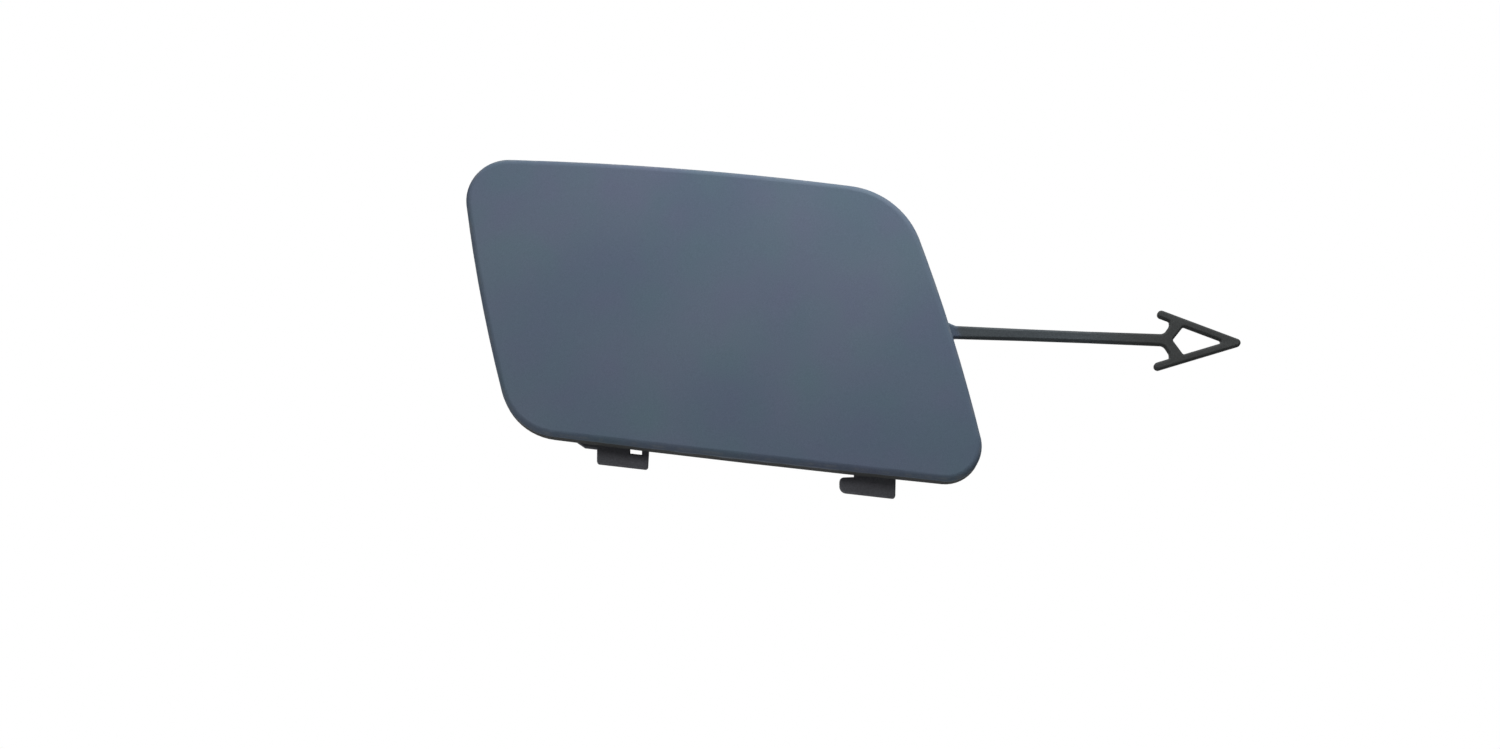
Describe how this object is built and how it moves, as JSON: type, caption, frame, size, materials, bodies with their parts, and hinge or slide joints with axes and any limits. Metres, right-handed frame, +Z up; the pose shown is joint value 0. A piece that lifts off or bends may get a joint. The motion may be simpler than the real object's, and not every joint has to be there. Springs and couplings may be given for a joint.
{
  "type": "bumper tow hook cover",
  "caption": "Crowned four-sided cover panel with a return wall, lower hooks, upper snap latches and a tether strap ending in an arrow-shaped barb.",
  "frame": {"origin": "middle of the plane that the rim of the return wall seats on, at the panel's mid width and mid height", "axes": "+X to the right as the painted face is looked at, towards the tether strap; +Y backwards into the bumper; +Z up. The painted face looks along -Y."},
  "size_m": [0.1383, 0.0145, 0.0608],
  "materials": {
    "primed_plastic": "semi-matte blue-grey primer over black moulded plastic; strap, hooks and back bare black plastic"
  },
  "bodies": {
    "root": {"tow_hook_cover": "primed_plastic"}
  },
  "joints": []
}
